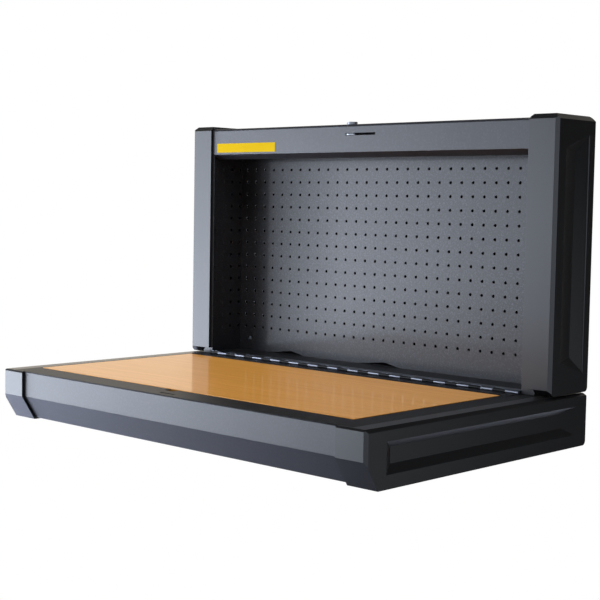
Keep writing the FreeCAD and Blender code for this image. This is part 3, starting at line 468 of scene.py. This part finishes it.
# %% The world
world = bpy.data.worlds.new("studio_air")
world.use_nodes = True
bpy.context.scene.world = world
tree = world.node_tree
path = add(tree, "LightPath", {})
camera_or_glass = add(tree, "Math", {0: path.outputs["Is Camera Ray"],
                                     1: path.outputs["Is Transmission Ray"]},
                      operation="MAXIMUM")
strength = add(tree, "MapRange", {0: camera_or_glass.outputs[0], 3: 0.05, 4: 1.0})
air = tree.nodes["Background"]
air.inputs["Color"].default_value = (1, 1, 1, 1)
tree.links.new(strength.outputs[0], air.inputs["Strength"])
print("world:", world.name)

# %% [markdown]
# ## Cards for the mirrors
# A studio stands white cards beside glossy work, so that it has something pale to mirror. Large
# lamps would do the same but would also light the paint. These three glow for mirrors alone, so
# what they add is a painted reflection.


# %% Cards that only mirrors see
def only_mirrored(name):
    """A finish that glows in mirrors and is clear to the camera and to soft light."""
    finish, tree, shader = new_finish(name)
    shines = add(tree, "Emission", {"Color": (1, 1, 1, 1)})
    clear = add(tree, "BsdfTransparent", {})
    either = add(tree, "MixShader", {0: add(tree, "LightPath", {}).outputs["Is Glossy Ray"],
                                     1: clear.outputs[0], 2: shines.outputs[0]})
    tree.links.new(either.outputs[0], tree.nodes["Material Output"].inputs["Surface"])
    finish.cycles.emission_sampling = "NONE"
    return finish, tree, shines


def mirror_card(name, glow, strength, start, end, low, high):
    """An upright flat card of even brightness."""
    finish, tree, shines = only_mirrored(name)
    shines.inputs["Color"].default_value = paint(glow)
    shines.inputs["Strength"].default_value = strength
    sheet_of(name, [(*start, low), (*end, low), (*end, high), (*start, high)], finish)


# Painted reflections: these cards light nothing and show only in mirrors.
mirror_card("card_behind", "#fff6e8", 1.15, (-4.5, -0.6), (0.6, 4.5), -1.0, 2.2)
mirror_card("card_beside", "#e4ecf0", 0.6, (1.9, 1.45), (2.6, 0.5), -1.4, -0.3)
mirror_card("card_beside_top", "#e4ecf0", 0.38, (1.9, 1.45), (2.6, 0.5), -0.3, 0.1)
print("mirror cards: 3")

# %% [markdown]
# ## A gauze in the opening, for painted shade
# It stands just inside the left end of the opening and dims what the tool panel mirrors there,
# which paints shade on the left end of the panel.
# It lets 0.3 of the light through at its left edge and all of it at its right edge. No studio
# has such a gauze: it is a trick, it belongs to this one picture, and it can be left out.

# %% Hang the gauze
gauze, tree, shader = new_finish("painted_shade_gauze")
across = add(tree, "SeparateXYZ", {0: add(tree, "NewGeometry", {}).outputs["Position"]})
GAUZE_LEFT, GAUZE_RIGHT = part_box("left_upright")[1].x, -0.17
# Painted shade: mirrors see the panel's left end dimmed to 0.3 of its light, fading out to the
# right.
thin = add(tree, "MapRange", {0: across.outputs["X"], 1: GAUZE_LEFT, 2: GAUZE_RIGHT,
                              3: 0.3, 4: 1.0})
only_mirrors = add(tree, "Mix", {0: add(tree, "LightPath", {}).outputs["Is Glossy Ray"], 2: 1.0,
                                 3: thin.outputs[0]}, data_type="FLOAT")
veil = add(tree, "BsdfTransparent", {"Color": only_mirrors.outputs[0]})
tree.links.new(veil.outputs[0], tree.nodes["Material Output"].inputs["Surface"])
front_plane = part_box("left_upright")[0].y + 2 * MM
sheet_of("gauze", [(GAUZE_LEFT, front_plane, panel_low.z), (GAUZE_RIGHT, front_plane, panel_low.z),
                   (GAUZE_RIGHT, front_plane, panel_high.z),
                   (GAUZE_LEFT, front_plane, panel_high.z)], gauze)
print("gauze from", round(GAUZE_LEFT, 3), "to", GAUZE_RIGHT)

# %% [markdown]
# ## The window wall, a painted reflection
# Satin black paint has almost no colour of its own, so what the eye reads on it is the room.
# Here the room is an arc of screens round the front: bright daylight on the left, brightest low
# down, and fading towards the right and towards the ceiling. The arc's centre is the bench.
# The screens glow for mirrors alone and far more strongly than a plain studio would, so the grey
# that near-black paint shows on the faces that look at them is a painted reflection.

# %% Build the arc of screens
ARC_RADIUS = 3.2
ARC_SHIFT = -0.2
ARC_TOP = 1.3
ARC_FROM, ARC_TO, ARC_STEPS = -105, 85, 24
window, tree, shines = only_mirrored("painted_reflection_screens")
shines.inputs["Color"].default_value = (0.80, 0.87, 1.0, 1)
where = add(tree, "SeparateXYZ", {0: add(tree, "NewGeometry", {}).outputs["Position"]})
ahead = add(tree, "Math", {0: ARC_SHIFT, 1: where.outputs["Y"]}, operation="SUBTRACT")
left = add(tree, "Math", {0: where.outputs["X"], 1: -1.0}, operation="MULTIPLY")
round_left = add(tree, "Math", {0: left.outputs[0], 1: ahead.outputs[0]},
                 operation="ARCTAN2").outputs[0]
# Painted reflection: the glow is strongest low down on the left and fades to the right and
# upwards.
upper = add(tree, "MapRange", {0: round_left, 1: math.radians(18), 2: math.radians(42),
                               3: 1.6, 4: 5.8})
lower = add(tree, "MapRange", {0: round_left, 1: math.radians(26), 2: math.radians(55),
                               3: 1.0, 4: 10.2})
down = add(tree, "MapRange", {0: where.outputs["Z"], 1: 0.0, 2: -0.55})
level = add(tree, "Mix", {0: down.outputs[0], 2: upper.outputs[0], 3: lower.outputs[0]},
            data_type="FLOAT")
fade = add(tree, "MapRange", {0: where.outputs["Z"], 1: 0.35, 2: 1.1, 3: 1.0, 4: 0.15})
glow = add(tree, "Math", {0: level.outputs[0], 1: fade.outputs[0]}, operation="MULTIPLY")
tree.links.new(glow.outputs[0], shines.inputs["Strength"])
posts = []
for step in range(ARC_STEPS + 1):
    turned = math.radians(ARC_FROM + (ARC_TO - ARC_FROM) * step / ARC_STEPS)
    posts.append((-ARC_RADIUS * math.sin(turned), ARC_SHIFT - ARC_RADIUS * math.cos(turned)))
corners = [(*post, height) for post in posts for height in (FLOOR, ARC_TOP)]
screens = bpy.data.meshes.new("painted_reflection_screens")
screens.from_pydata(corners, [], [(2 * i, 2 * i + 1, 2 * i + 3, 2 * i + 2)
                                  for i in range(ARC_STEPS)])
screens.materials.append(window)
arc = bpy.data.objects.new("painted_reflection_screens", screens)
bpy.context.scene.collection.objects.link(arc)
print("arc of", ARC_STEPS, "screens")

# %% [markdown]
# ## The lamps
# Three softboxes light the colours themselves: a cool key from the left, one from above, and
# one behind for the back. Mirrors don't see them, because the screens stand in for them there.


# %% Lamps
def softbox(name, place, target, width, height, watts, tint=(1, 1, 1)):
    """A rectangular lamp that faces a target and that mirrors don't see."""
    lamp = bpy.data.lights.new(name, "AREA")
    lamp.shape = "RECTANGLE"
    lamp.size = width
    lamp.size_y = height
    lamp.energy = watts
    lamp.color = tint
    thing = bpy.data.objects.new(name, lamp)
    thing.location = place
    aim = (Vector(target) - Vector(place)).to_track_quat("-Z", "Y")
    thing.rotation_mode = "QUATERNION"
    thing.rotation_quaternion = aim
    thing.visible_glossy = False
    bpy.context.scene.collection.objects.link(thing)
    return thing


DAYLIGHT = (0.88, 0.93, 1.0)
softbox("key_softbox", (-2.05, -0.95, -0.1), (-0.1, -0.3, -0.05), 1.4, 1.9, 70, DAYLIGHT)
softbox("top_softbox", (-0.2, -0.75, 1.7), (0, -0.4, 0), 1.2, 0.9, 44)
softbox("rear_fill", (0.2, 2.6, 0.5), (0, 0, -0.2), 2.0, 1.4, 150)
print("lamps:", len(bpy.data.lights))

# %% [markdown]
# ## Colour
# The Standard view shows a colour as it is computed, with no film curve over it.

# %% Colour management
bpy.context.scene.view_settings.view_transform = "Standard"
print("view:", bpy.context.scene.view_settings.view_transform)
